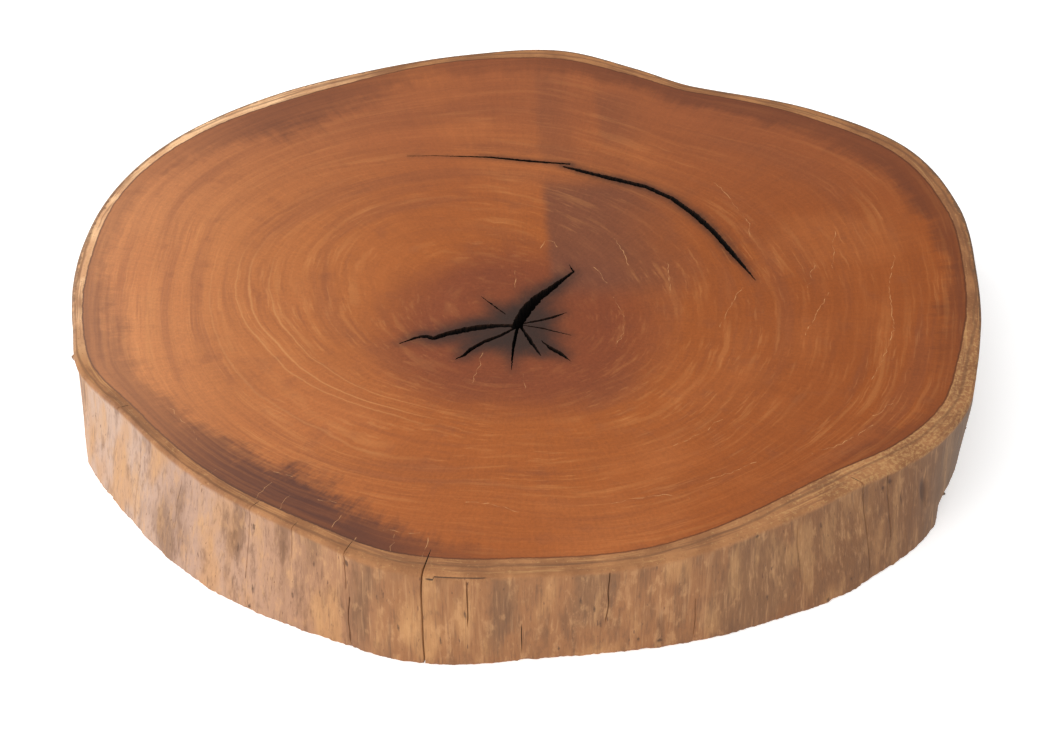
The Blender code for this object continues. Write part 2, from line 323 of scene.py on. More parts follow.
# Darker and greyer at the right: partly the wood's tone, partly painted shade on the side that faces away
# from the light.
bare = tinted(bare, to_right, 0.15, 0.33, 0.42, "#805838")
bare = tinted(bare, to_right, 0.34, 0.41, 0.70, "#6E5D4E")
bare = tinted(bare, streaks, 0.54, 0.70, 0.36, "#604330")
bare = tinted(bare, streaks, 0.46, 0.32, 0.24, "#CC9A6A")
bare = tinted(bare, fibres, 0.55, 0.72, 0.30, "#593D2A")
bare = tinted(bare, fibres, 0.44, 0.28, 0.20, "#D0A272")
bare = tinted(bare, hairs, 0.62, 0.80, 0.25, "#4E3625")
bare = tinted(bare, slits, 0.71, 0.78, 0.75, "#5E3C29")


def sapwood_tan():
    """Sapwood across the grain: pale at the back left, tan elsewhere, with fine brown mottling."""
    left = add_node("SeparateXYZ", {0: spot}, "X")
    back = add_node("SeparateXYZ", {0: spot}, "Y")
    weathered = add_node("TexNoise", {"Vector": spot, "Scale": 1000 / 33, "Detail": 3.0})
    tan = tinted(linear("#8F5D36"), weathered, 0.36, 0.66, 1.0, "#AD7648")
    pale = tinted(linear("#D29C70"), weathered, 0.35, 0.65, 1.0, "#F0C090")
    at_left = add_node("MapRange", {"Value": left, "From Min": -0.14, "From Max": -0.28},
                       interpolation_type="SMOOTHSTEP")
    behind = add_node("MapRange", {"Value": back, "From Min": -0.16, "From Max": -0.06},
                      interpolation_type="SMOOTHSTEP")
    share = add_node("Math", {0: at_left, 1: behind}, operation="MULTIPLY")
    tan = add_node("Mix", {0: share, 6: tan, 7: pale}, 2, data_type="RGBA")
    tan = tinted(tan, left, 0.28, 0.42, 0.35, "#7A4E30")
    # Behind, a rough brown skin of bast is left along its outer edge.
    bast = add_node("TexNoise", {"Vector": spot, "Scale": 1000 / 7, "Detail": 4.0})
    bast = add_node("Math", {0: bast, 1: 9.0, 2: 0.8}, operation="MULTIPLY_ADD")
    to_rim = add_node("Attribute", out="Fac", attribute_name="to_rim")
    bast = add_node("Math", {0: bast, 1: to_rim}, operation="SUBTRACT")
    behind = add_node("MapRange", {"Value": back, "From Min": -0.20, "From Max": 0.10})
    bast = add_node("Math", {0: bast, 1: behind}, operation="MULTIPLY")
    tan = tinted(tan, bast, 0.3, 2.2, 0.75, "#644A35")
    # It crumbles a little at the front right.
    crumbs = add_node("TexNoise", {"Vector": spot, "Scale": 1000 / 3.3, "Detail": 3.0,
                                   "Roughness": 0.7})
    for place, low, high in ((left, 0.16, 0.32), (back, -0.02, -0.16)):
        nearer = add_node("MapRange", {"Value": place, "From Min": low, "From Max": high,
                                       "To Max": 0.13}, interpolation_type="SMOOTHSTEP")
        crumbs = add_node("Math", {0: crumbs, 1: nearer}, operation="ADD")
    tan = tinted(tan, crumbs, 0.68, 0.90, 0.62, "#C2955F")
    fine = add_node("TexNoise", {"Vector": spot, "Scale": 1000 / 2.4, "Detail": 2.0})
    return tinted(tan, fine, 0.42, 0.28, 0.40, "#6E4529")


# The rounded edge above shows the same end grain as the band on the face.
end_grain = sapwood_tan()
over_edge = add_node("MapRange", {"Value": level, "From Min": 0.1015, "From Max": 0.1072,
                                  "To Max": 0.9}, interpolation_type="SMOOTHSTEP")
bare = add_node("Mix", {0: over_edge, 6: bare, 7: end_grain}, 2, data_type="RGBA")
# The checks and the slit along the arris are painted near black inside, as painted shade in their depth;
# the flecks are tinted dark brown.
for mark, low, high, most, tint in (
        ("fleck", 0.25, 0.85, 0.80, "#4E3424"), ("edge_slit", 0.50, 0.85, 0.90, "#2E1D14"),
        ("split", 0.10, 0.80, 0.97, "#23160F")):
    bare = tinted(bare, add_node("Attribute", out="Fac", attribute_name=mark), low, high, most, tint)
tree.links.new(bare, shader.inputs["Base Color"])
shader.inputs["Roughness"].default_value = 0.82
ridges = add_node("Math", {0: streaks, 1: 1.3, 2: fibres}, operation="MULTIPLY_ADD")
ridges = add_node("Math", {0: slits, 1: -0.7, 2: ridges}, operation="MULTIPLY_ADD")
bump = add_node("Bump", {"Strength": 0.5, "Distance": 0.0011, "Height": ridges})
tree.links.new(bump, shader.inputs["Normal"])


# The checks: as the slice dried, it opened in a star at the pith and along one growth ring.
# The walls narrow as they go down and are painted black below a brown mouth, as painted shade.
# The heart checks: how deep, and then x, y from the pith and width along each.
HEART_CHECKS = (
    (80, ((-6, -4, 5), (1, 8, 11), (7, 25, 12.5), (17, 43, 11), (29, 57, 8), (41, 72, 5), (54, 88, 2.2),
          (52, 93, 1.6), (50, 100, 0.6))),
    (70, ((4, 0, 5), (-16, 0, 5), (-30, -1, 7), (-44, -4, 8.5), (-57, -8, 8), (-69, -13, 7), (-82, -20, 5),
          (-88, -17, 5), (-94, -17, 4), (-102, -21, 3), (-114, -28, 0.8))),
    (45, ((3, 3, 3), (-17, -15, 3.5), (-33, -25, 4.5), (-45, -36, 4.5), (-52, -46, 3.5), (-60, -52, 0.8))),
    (45, ((0, 4, 3), (-4, -20, 3.5), (-6, -42, 2.5), (-7, -68, 0.6))),
    (40, ((0, 2, 3), (9, -19, 4), (16, -36, 3), (21, -47, 0.8))),
    (35, ((21, -23, 0.8), (30, -35, 4), (39, -43, 4.5), (49, -55, 0.8))),
    (35, ((2, 3, 2), (19, 8, 3), (32, 13, 3.5), (46, 21, 0.8))),
    (25, ((3, 1, 1.5), (22, -4, 2), (50, -15, 0.6))),
    (20, ((-37, 47, 0.5), (-24, 31, 1.8), (-13, 18, 0.8))),
)
# The ring shake, where the wood came apart along a growth ring: how deep, then turn, radius, width.
RING_SHAKE = (
    (55, ((112, 321, 0.5), (107, 312, 0.8), (103, 305, 1.4), (96, 297, 3), (88, 288, 4), (79.2, 287, 2.5))),
    (55, ((80.6, 281, 2.5), (77, 277, 5), (68, 272, 7), (61, 273, 6), (54, 269, 6), (46, 260, 7),
          (39, 253, 6.5), (31, 246, 6), (24.5, 244, 4), (17.5, 245, 0.6))),
)
# The stain round them is darkest just in front of the pith.
STAIN_MIDDLE, STAIN_RADIUS = (4.0, 12.0), 38.0
# How far the torn fibres stand out from the edge of a check.
CRACK_JAG = 0.65
# The walls: how far down, and how far towards the crack's middle, as shares.
CRACK_LEVELS = ((0.02, 0.05), (0.10, 0.16), (0.35, 0.40), (1.0, 0.88))


def crack_line(stations, step, polar=False):
    """Points along the middle of a crack, as rows of x, y and width, and the way across at each."""
    points = np.array(stations, float)
    if polar:
        turn, radius, width = points.T
        turn = np.radians(turn)
        points = np.stack([radius * np.cos(turn), radius * np.sin(turn), width], 1)
    along = np.concatenate([[0.0], np.cumsum(np.hypot(*np.diff(points[:, :2], axis=0).T))])
    count = max(3, int(along[-1] / step))
    at = np.linspace(0.0, along[-1], count + 1)
    line = np.stack([np.interp(at, along, points[:, k]) for k in range(3)], 1)
    ahead = np.gradient(line[:, :2], axis=0)
    across = np.stack([-ahead[:, 1], ahead[:, 0]], 1) / np.linalg.norm(ahead, axis=1)[:, None]
    return line, across


def crack_outline(line, across, jag, seed):
    """The jagged edge of a crack, once round, as (x, y) points."""
    flat = np.column_stack([line[:, :2], np.zeros(len(line))])
    half = line[:, 2] / 2
    left = half * (1 + 0.25 * lumps(flat, 4.0, seed)) + jag * lumps(flat, 2.2, seed + 1)
    right = half * (1 + 0.25 * lumps(flat, 4.0, seed + 2)) + jag * lumps(flat, 2.2, seed + 3)
    least = 0.12
    left, right = np.maximum(left, least), np.maximum(right, least)
    edge = [line[i, :2] - across[i] * right[i] for i in range(len(line))]
    return edge + [line[i, :2] + across[i] * left[i] for i in reversed(range(len(line)))]


crack_lines = []
for depth, stations in HEART_CHECKS:
    crack_lines.append((depth,) + crack_line(stations, 1.6))
for depth, stations in RING_SHAKE:
    crack_lines.append((depth,) + crack_line(stations, 2.0, polar=True))
face_cracks = [
    crack_outline(line, across, CRACK_JAG, 3.0 * n)
    for n, (_, line, across) in enumerate(crack_lines)]


# Crack walls: torn fibres, painted brown at the mouth and black below as painted shade,
# so that a check looks deep.
crack, tree, shader = new_material("crack_walls_painted_shade")
materials.append(crack)
spot = add_node("TexCoord", out="Object")
level = add_node("SeparateXYZ", {0: spot}, "Z")
torn_walls = fibre_noise(1.5, 14.0)
dark = tinted(linear("#080605"), torn_walls, 0.40, 0.65, 1.0, "#1A110D")
mouth = add_node("MapRange", {"Value": level, "From Min": THICKNESS / 1000 - 0.005,
                              "From Max": THICKNESS / 1000, "To Max": 0.8})
mouth = add_node("Math", {0: mouth, 1: torn_walls}, operation="MULTIPLY")
dark = tinted(dark, mouth, 0.15, 0.50, 0.7, "#3A2216")
tree.links.new(dark, shader.inputs["Base Color"])
shader.inputs["Roughness"].default_value = 0.9
shader.inputs["Specular IOR Level"].default_value = 0.15


# The polished face: sawn square across the grain, sanded fine and oiled. Its growth rings
# are wider behind the pith than in front, so each is given by its own closed curve.
# Each ring's age from 0 at the pith to 1 at the rim, with its turns and radii.
GROWTH = {
    0.21: ((0, 100), (39, 112), (62, 135), (90, 175), (115, 203), (130, 214), (145, 203), (160, 178),
           (180, 150), (200, 128), (230, 105), (260, 95), (290, 91), (320, 93)),
    0.32: ((6, 148), (45, 168), (70, 200), (100, 240), (130, 262), (155, 248), (172, 222), (186, 197),
           (199, 175), (211, 162), (223, 147), (235, 138), (250, 131), (277, 129), (308, 129), (331, 138)),
    0.43: ((11, 201), (38, 228), (60, 250), (90, 274), (111, 290), (136, 303), (152, 305), (166, 288),
           (178, 265), (187, 243), (197, 229), (215, 197), (232, 173), (252, 162), (276, 164), (288, 174),
           (306, 184), (331, 190), (350, 193)),
    0.52: ((0, 238), (17, 245), (31, 247), (46, 260), (60, 273), (80, 284), (96, 297), (111, 319),
           (130, 345), (148, 345), (162, 325), (180, 300), (200, 275), (215, 258), (229, 243), (243, 226),
           (264, 203), (275, 203), (291, 209), (308, 220), (326, 225), (345, 232)),
    0.72: ((0, 325), (20, 350), (37, 370), (60, 355), (75, 375), (90, 400), (110, 405), (130, 405),
           (148, 400), (160, 372), (180, 345), (200, 325), (215, 305), (230, 285), (250, 265), (262, 258),
           (273, 266), (288, 280), (305, 286), (320, 296), (345, 315)),
    1.0: RIM,
}
# The width of the pale sapwood, as turn and width.
SAPWOOD = (
    (10, 13), (30, 17), (47, 20), (63, 13), (85, 20), (100, 13), (120, 20), (132, 15), (150, 11),
    (165, 13), (180, 10), (190, 14), (205, 11), (235, 12), (255, 20), (285, 19), (303, 21),
    (320, 26), (335, 25), (352, 19),
)
# The dark fringe of the heartwood just inside the sapwood: turn, width and how dark.
FRINGE = (
    (0, 30, 0.42), (15, 24, 0.55), (30, 40, 0.50), (45, 40, 0.42), (60, 36, 0.50), (75, 30, 0.45),
    (90, 36, 0.28), (105, 40, 0.32), (116, 60, 0.50), (126, 66, 0.58), (136, 40, 0.36), (150, 25, 0.25),
    (165, 26, 0.36), (180, 40, 0.46), (195, 38, 0.46), (207, 40, 0.62), (218, 50, 0.84), (228, 56, 0.92),
    (240, 46, 0.90), (250, 36, 0.78), (258, 26, 0.50), (268, 14, 0.20), (285, 10, 0.10), (305, 10, 0.14),
    (322, 14, 0.22), (334, 22, 0.40), (346, 18, 0.25),
)
# Fine checks that the sanding filled with pale dust, drawn 0.7 mm wide so that they show.
HAIRLINE_WIDTH = 0.7
HAIRLINES = (
    ((203, 248), (213, 233), (221, 209), (234, 178), (234, 148)),
    ((95, 146), (106, 120), (109, 99)), ((92, 46), (101, 14), (98, -18), (93, -33)),
    ((74, 96), (87, 69)), ((148, 103), (149, 74), (148, 53)),
    ((21, 128), (25, 140), (33, 141), (38, 130)), ((-4, 91), (-4, 62)), ((-34, -42), (-43, -87)),
    ((4, -74), (6, -98)), ((220, 62), (206, 36), (193, -2)),
    ((81, -254), (103, -247), (128, -241), (150, -247)), ((-46, -252), (-25, -254), (1, -265)),
    ((166, -224), (196, -208), (212, -199)), ((139, -177), (162, -162), (179, -145), (186, -140)),
    ((262, -188), (285, -177), (306, -162), (322, -148)), ((-268, -209), (-280, -230)),
    ((-217, -226), (-236, -257)), ((-199, -243), (-210, -263)), ((-153, -269), (-164, -293)),
    ((-136, -293), (-149, -319)), ((-106, -293), (-110, -318)), ((-77, -297), (-81, -330)),
    ((-320, -124), (-295, -155), (-290, -169)), ((-217, -212), (-199, -219)),
    ((-175, -249), (-158, -253)), ((-116, -288), (-84, -291)),
    ((376, 116), (364, 61), (360, -5), (345, -47), (329, -82)), ((347, -115), (323, -135)),
    ((322, 158), (312, 94)), ((295, 99), (284, 61)), ((304, 54), (274, -15)),
)
# The face's corners lie this far apart. Its rim is about 430 mm from the pith, and at most
# a little more than 500 mm.
FACE_STEP = 5.2
USUAL_RADIUS, WIDE_RADIUS = 430.0, 500.0


def ring_age(turn, radius):
    """0 at the pith and 1 at the rim, alike all along a growth ring."""
    ages = np.array([0.0] + list(GROWTH))
    radii = np.stack([0.0 * turn] + [round_curve(ring, turn) for ring in GROWTH.values()])
    age = np.zeros_like(turn)
    for inner in range(len(ages) - 1):
        span = radii[inner + 1] - radii[inner]
        part = np.clip((radius - radii[inner]) / span, 0.0, 1.0 if inner < len(ages) - 2 else 1.2)
        age += part * (ages[inner + 1] - ages[inner])
    return age


def hairline_outline(points, seed):
    line, across = crack_line([(x, y, HAIRLINE_WIDTH) for x, y in points], 4.5)
    flat = np.column_stack([line[:, :2], np.zeros(len(line))])
    line[1:-1, :2] += across[1:-1] * (3.4 * lumps(flat, 7.0, seed))[1:-1, None]
    line[:, 2] *= np.clip(0.75 + 0.8 * lumps(flat, 9.0, seed + 1), 0.35, 1.2)
    return crack_outline(line, across, 0.0, seed)


def inside_points(edge_radius, step):
    """Points spread over the face in rings about the pith, out to just short of its edge."""
    found = []
    spin = np.random.default_rng(3)
    for ring in np.arange(1.0, WIDE_RADIUS / step):
        share = ring * step / WIDE_RADIUS
        if share > 1.0 - 0.35 * step / WIDE_RADIUS:
            break
        count = max(6, int(2 * math.pi * share * USUAL_RADIUS / step))
        at = 360.0 * (np.arange(count) + spin.uniform(0, 1)) / count + spin.uniform(-0.1, 0.1, count)
        radius = share * (edge_radius(at) - 1.2)
        found.append(np.stack([radius * np.cos(np.radians(at)), radius * np.sin(np.radians(at))], 1))
    return np.concatenate(found)


def clear_of(points, outlines, gap):
    """The points that lie no nearer than gap to any outline's corners or edges."""
    keep = np.ones(len(points), bool)
    for outline in outlines:
        ends = np.array(outline)
        for a, b in zip(ends, np.roll(ends, -1, axis=0)):
            close = (np.abs(points - (a + b) / 2) < np.abs(b - a) / 2 + gap).all(1)
            keep &= ~close
    return points[keep]


def flat_face(edge, inner, cracks, hairlines):
    """Triangles over a face: the places, the triangles, what each of them is (0 wood, 1 crack,
    2 hairline) and where the edge's own places have gone."""
    outlines = [list(edge)] + [list(o) for o in cracks] + [list(o) for o in hairlines]
    places, loops = [], []
    for outline in outlines:
        area = sum(a[0] * b[1] - b[0] * a[1] for a, b in zip(outline, outline[1:] + outline[:1]))
        order = range(len(outline)) if area > 0 else reversed(range(len(outline)))
        loops.append([len(places) + i for i in order])
        places += [Vector((float(p[0]), float(p[1]))) for p in outline]
    places += [Vector((float(p[0]), float(p[1]))) for p in inner]
    made, _, triangles, from_place, _, from_loop = delaunay_2d_cdt(places, [], loops, 1, 1e-4)
    new_index = {}
    for new, olds in enumerate(from_place):
        for old in olds:
            new_index[old] = new
    kinds = []
    for owners in from_loop:
        if any(1 <= o <= len(cracks) for o in owners):
            kinds.append(1)
        elif any(o > len(cracks) for o in owners):
            kinds.append(2)
        else:
            kinds.append(0)
    return np.array([tuple(p) for p in made]), triangles, kinds, [new_index[i] for i in range(len(edge))]


def add_face(places, triangles, kinds, rim, lines, rim_row, level, upward, wood):
    """Adds a flat face, whose rim is a row of the side, and the walls and floors of its cracks."""
    start = add_corners(np.column_stack([places, np.full(len(places), level)]))
    index = list(range(start, start + len(places)))
    for column, new in enumerate(rim):
        index[new] = rim_row * columns + column

    def add(face, what, dust=0.0):
        faces.append(tuple(face) if upward > 0 else tuple(reversed(face)))
        finish.append(what)
        dusty.append(dust)

    in_crack = []
    for face, kind in zip(triangles, kinds):
        if kind == 1:
            in_crack.append(face)
        else:
            add([index[v] for v in face], wood, float(kind == 2))
    edges = {(a, b) for face in in_crack for a, b in zip(face, list(face[1:]) + [face[0]])}
    mouth = sorted((a, b) for a, b in edges if (b, a) not in edges)
    members = sorted({v for face in in_crack for v in face})
    middle = np.concatenate([line for _, line, _ in lines])
    depth = np.concatenate([
        np.maximum(0.2, line[:, 2] / line[:, 2].max()) * deep for deep, line, _ in lines])
    gap = np.linalg.norm(places[members][:, None] - middle[None, :, :2], axis=2)
    nearest = (gap - 0.5 * middle[None, :, 2]).argmin(axis=1)
    above = {v: index[v] for v in members}
    for down, inward in CRACK_LEVELS:
        ring = places[members] * (1 - inward) + middle[nearest, :2] * inward
        first = add_corners(np.column_stack([ring, level - upward * down * depth[nearest]]))
        below = {v: first + i for i, v in enumerate(members)}
        for a, b in mouth:
            add([above[a], above[b], below[b], below[a]], CRACK_WALL_SHADE)
        above = below
    for face in in_crack:
        add([above[v] for v in face], CRACK_WALL_SHADE)


face_hairlines = [hairline_outline(points, 5.0 * n) for n, points in enumerate(HAIRLINES)]
face_edge = side_place[-1, :, :2]
face_inner = inside_points(lambda a: round_curve(RIM, a) - round_curve(RIM_ARRIS, a), FACE_STEP)
face_inner = clear_of(face_inner, face_cracks + face_hairlines, 1.0)
face = flat_face(face_edge, face_inner, face_cracks, face_hairlines)
add_face(*face, crack_lines, rows - 1, THICKNESS, 1, OILED)


# Oiled heartwood across the grain: growth rings in orange browns with a soft sheen, a red
# heart, a dark fringe inside the pale sapwood, and grey-black stain round the checks.
heartwood, tree, shader = new_material("oiled_heartwood_end_grain")
materials.append(heartwood)
spot = add_node("TexCoord", out="Object")
from_pith = add_node("VectorMath", {0: spot, 1: (PITH_X / 1000, PITH_Y / 1000, THICKNESS / 1000)},
                     operation="SUBTRACT")
outward = add_node("VectorMath", {0: from_pith}, operation="NORMALIZE")
to_right = add_node("SeparateXYZ", {0: from_pith}, "X")
to_back = add_node("SeparateXYZ", {0: from_pith}, "Y")
# A scale of 1000 / 26 gives lumps of 26 mm. The grain is pores of 0.3 mm drawn ten times coarser.
clouds = add_node("TexNoise", {"Vector": spot, "Scale": 1000 / 143, "Detail": 4.0})
wisps = add_node("TexNoise", {"Vector": spot, "Scale": 1000 / 26, "Detail": 4.0, "Roughness": 0.6})
grain = add_node("TexNoise", {"Vector": spot, "Scale": 1000 / 3, "Detail": 3.0, "Roughness": 0.7})
age = add_node("Attribute", out="Fac", attribute_name="age")
stirred_age = add_node("Math", {0: clouds, 1: 0.030, 2: age}, operation="MULTIPLY_ADD")
stirred_age = add_node("Math", {0: wisps, 1: 0.011, 2: stirred_age}, operation="MULTIPLY_ADD")


def ring_noise(rings, turns, detail=2.0, roughness=0.55):
    """Noise that runs along the growth rings: so many to the rim, and so many in a radian round."""
    along = add_node("VectorMath", {0: outward, "Scale": turns}, operation="SCALE")
    number = add_node("Math", {0: stirred_age, 1: rings}, operation="MULTIPLY")
    x, y = add_node("SeparateXYZ", {0: along}, "X"), add_node("SeparateXYZ", {0: along}, "Y")
    place = add_node("CombineXYZ", {"X": number, "Y": x, "Z": y})
    return add_node("TexNoise", {"Vector": place, "Scale": 1.0, "Detail": detail,
                                 "Roughness": roughness})


# Years of good growth 35 mm wide, rings 7 mm apart and fine rings 2.7 mm apart.
bands = ring_noise(13.0, 1.0, 3.0)
rings = ring_noise(62.0, 2.6, 2.0)
fine_rings = ring_noise(165.0, 7.5, 2.0)
rays = ring_noise(7.0, 70.0, 3.0, 0.7)
clear_rings = ring_noise(6.0, 2.4, 2.0)

# The tone over the whole face: palest at the left and deepest at the right, partly the wood's own
# tone and partly painted light from the left; redder behind and in the heart.
from_middle = add_node("VectorMath", {0: from_pith}, "Value", operation="LENGTH")
from_middle = add_node("Math", {0: clouds, 1: -0.09, 2: from_middle}, operation="MULTIPLY_ADD")
wood = tinted(linear("#A1551F"), to_right, -0.05, -0.30, 0.80, "#B46C36")
wood = tinted(wood, to_right, -0.24, -0.42, 0.80, "#C8814B")
wood = tinted(wood, to_right, 0.03, 0.27, 0.88, "#944B1A")
wood = tinted(wood, to_back, 0.10, 0.42, 0.60, "#925334")
wood = tinted(wood, clouds, 0.50, 0.72, 0.40, "#B06532")
wood = tinted(wood, bands, 0.50, 0.34, 0.30, "#8E4E2D")
wood = tinted(wood, wisps, 0.54, 0.72, 0.30, "#8A4B28")
wood = tinted(wood, from_middle, 0.120, 0.040, 0.85, "#7A3A1E")

# The wood behind the heart turned darker in two steps, each with a straight edge: where the
# edge is at the pith's level, how it leans, how far it fades, from and to where, how strong.
for edge_x, lean, fade, start, end, most in (
        (0.034, -0.045, 0.21, 0.02, 0.275, 0.72), (0.034, -0.045, 0.08, 0.24, 0.50, 0.38),
        (0.104, -0.055, 0.09, 0.28, 0.46, 0.42)):
    edge = add_node("Math", {0: to_back, 1: lean, 2: edge_x}, operation="MULTIPLY_ADD")
    past = add_node("Math", {0: to_right, 1: edge}, operation="SUBTRACT")
    past = add_node("Math", {0: wisps, 1: 0.010, 2: past}, operation="MULTIPLY_ADD")
    step = add_node("MapRange", {"Value": past, "From Min": -0.003, "From Max": 0.013, "To Max": most},
                    interpolation_type="SMOOTHSTEP")
    for value, low, high in (
            (past, fade, 0.25 * fade), (to_back, start, start + 0.06), (to_back, end, end - 0.05)):
        kept = add_node("MapRange", {"Value": value, "From Min": low, "From Max": high},
                        interpolation_type="SMOOTHSTEP")
        step = add_node("Math", {0: step, 1: kept}, operation="MULTIPLY")
    wood = tinted(wood, step, 0.0, 1.0, 1.0, "#70402B")

# The dark fringe, ragged along the rings and across them.
inside = add_node("Attribute", out="Fac", attribute_name="inside_sapwood")
fringe_width = add_node("Attribute", out="Fac", attribute_name="fringe_width")
fringe_strength = add_node("Attribute", out="Fac", attribute_name="fringe_strength")
into_fringe = add_node("Math", {0: inside, 1: fringe_width}, operation="DIVIDE")
for pattern, amount in ((ring_noise(9.0, 9.0, 4.0, 0.7), 1.5), (rays, 0.55), (clouds, 1.2)):
    off_middle = add_node("Math", {0: pattern, 1: 0.5}, operation="SUBTRACT")
    into_fringe = add_node("Math", {0: off_middle, 1: amount, 2: into_fringe}, operation="MULTIPLY_ADD")
dark_fringe = add_node("MapRange", {"Value": into_fringe, "From Min": 1.25, "From Max": 0.45},
                       interpolation_type="SMOOTHSTEP")
dark_fringe = add_node("Math", {0: dark_fringe, 1: fringe_strength}, operation="MULTIPLY")
streaked = add_node("MapRange", {"Value": rings, "From Min": 0.38, "From Max": 0.64,
                                 "To Min": 1.0, "To Max": 0.80})
dark_fringe = add_node("Math", {0: dark_fringe, 1: streaked}, operation="MULTIPLY")

# Light and dark along the rings, the rays across them and the open pores. The ring lines are
# fainter behind and near the pith.
shade = add_node("Math", {0: bands, 1: 0.26, 2: 1.0 - 0.5 * (0.26 + 0.16 + 0.20 + 0.26 + 0.55)},
                 operation="MULTIPLY_ADD")
for pattern, amount in ((rings, 0.16), (fine_rings, 0.20), (rays, 0.26), (grain, 0.55)):
    shade = add_node("Math", {0: pattern, 1: amount, 2: shade}, operation="MULTIPLY_ADD")
wood = add_node("HueSaturation", {"Value": shade, "Color": wood})
shown = add_node("MapRange", {"Value": clear_rings, "From Min": 0.36, "From Max": 0.66,
                              "To Min": 0.15}, interpolation_type="SMOOTHSTEP")
off_pith = add_node("MapRange", {"Value": from_middle, "From Min": 0.0, "From Max": 0.12,
                                 "To Min": 0.2})
shown = add_node("Math", {0: shown, 1: off_pith}, operation="MULTIPLY")
nearer = add_node("MapRange", {"Value": to_back, "From Min": 0.34, "From Max": 0.08,
                               "To Min": 0.5})
shown = add_node("Math", {0: shown, 1: nearer}, operation="MULTIPLY")
for pattern, low, high, most, tint in (
        (rings, 0.52, 0.68, 0.22, "#CC8A4E"), (rings, 0.46, 0.34, 0.20, "#7C4024"),
        (fine_rings, 0.57, 0.72, 0.24, "#D09055")):
    line = add_node("MapRange", {"Value": pattern, "From Min": low, "From Max": high, "To Max": most},
                    interpolation_type="SMOOTHSTEP")
    line = add_node("Math", {0: line, 1: shown}, operation="MULTIPLY")
    wood = add_node("Mix", {0: line, 6: wood, 7: linear(tint)}, 2, data_type="RGBA")

# The clearest rings, drawn pale at the left of the pith: ring age, half width as age, strength.
leftward = add_node("VectorMath", {0: outward, 1: (-0.95, -0.31, 0.0)}, "Value", operation="DOT_PRODUCT")
shown = add_node("MapRange", {"Value": leftward, "From Min": 0.62, "From Max": 0.92},
                 interpolation_type="SMOOTHSTEP")
for at, half, most in (
        (0.383, 0.0035, 0.30), (0.425, 0.0040, 0.42), (0.452, 0.0035, 0.34), (0.526, 0.0035, 0.20)):
    off_line = add_node("Math", {0: stirred_age, 1: at}, operation="SUBTRACT")
    off_line = add_node("Math", {0: off_line}, operation="ABSOLUTE")
    line = add_node("MapRange", {"Value": off_line, "From Min": half, "From Max": 0.0, "To Max": most},
                    interpolation_type="SMOOTHSTEP")
    line = add_node("Math", {0: line, 1: shown}, operation="MULTIPLY")
    wood = add_node("Mix", {0: line, 6: wood, 7: linear("#D4955A")}, 2, data_type="RGBA")

wood = add_node("Mix", {0: dark_fringe, 6: wood, 7: linear("#50291C")}, 2, data_type="RGBA")

# The stain round the checks, and pale dust in the fine checks.
stain = add_node("Attribute", out="Fac", attribute_name="stain")
for pattern, amount in ((rays, 0.35), (wisps, 0.45)):
    off_middle = add_node("Math", {0: pattern, 1: 0.5}, operation="SUBTRACT")
    stain = add_node("Math", {0: off_middle, 1: amount, 2: stain}, operation="MULTIPLY_ADD")
wood = tinted(wood, stain, 0.02, 1.05, 0.95, "#291D17")
dust = add_node("Attribute", out="Fac", attribute_name="fine_check")
broken = add_node("TexNoise", {"Vector": spot, "Scale": 1000 / 7, "Detail": 2.0})
dust = add_node("Math", {0: dust, 1: broken}, operation="MULTIPLY")
wood = tinted(wood, dust, 0.33, 0.66, 0.68, "#D9A26C")

# The sapwood round it, with rings of its own and a dark line where the heartwood begins.
band = sapwood_tan()
band = tinted(band, ring_noise(95.0, 5.0), 0.52, 0.66, 0.55, "#7E5234")
band = tinted(band, fine_rings, 0.44, 0.30, 0.40, "#C9975F")
# A brown ring runs along the middle of the sapwood.
middle_ring = add_node("TexNoise", {"Vector": spot, "Scale": 1000 / 38, "Detail": 3.0})
middle_ring = add_node("Math", {0: middle_ring, 1: 9.0, 2: inside}, operation="MULTIPLY_ADD")
middle_ring = add_node("Math", {0: middle_ring, 1: 3.5}, operation="ADD")
middle_ring = add_node("Math", {0: middle_ring}, operation="ABSOLUTE")
band = tinted(band, middle_ring, 2.2, 0.4, 0.55, "#6E472C")
wander = add_node("TexNoise", {"Vector": spot, "Scale": 1000 / 12, "Detail": 4.0, "Roughness": 0.65})
at_edge = add_node("Math", {0: wander, 1: 2.8, 2: -1.4}, operation="MULTIPLY_ADD")
at_edge = add_node("Math", {0: at_edge, 1: inside}, operation="ADD")
wood = tinted(wood, at_edge, 2.6, 0.6, 0.70, "#4C2812")
band_part = add_node("MapRange", {"Value": at_edge, "From Min": 0.7, "From Max": -0.5},
                     interpolation_type="SMOOTHSTEP")
wood = add_node("Mix", {0: band_part, 6: wood, 7: band}, 2, data_type="RGBA")
tree.links.new(wood, shader.inputs["Base Color"])
dull = add_node("MapRange", {"Value": grain, "From Min": 0.2, "From Max": 0.8,
                             "To Min": 0.40, "To Max": 0.52})
dull = add_node("Math", {0: band_part, 1: 0.3, 2: dull}, operation="MULTIPLY_ADD")
tree.links.new(dull, shader.inputs["Roughness"])
shader.inputs["IOR"].default_value = 1.48
bump = add_node("Bump", {"Strength": 0.22, "Distance": 0.0004, "Height": fine_rings})
tree.links.new(bump, shader.inputs["Normal"])


# The underside: the same rings as the saw left them, dry and dull, with the marks of the blade.
# Five of the checks come through to it, narrower and less deep.
UNDERSIDE_CHECKS, UNDERSIDE_WIDTH, UNDERSIDE_DEPTH = (0, 1, 2, 4, 6), 0.6, 0.17
UNDERSIDE_JAG, UNDERSIDE_STEP = 0.25, 11.0

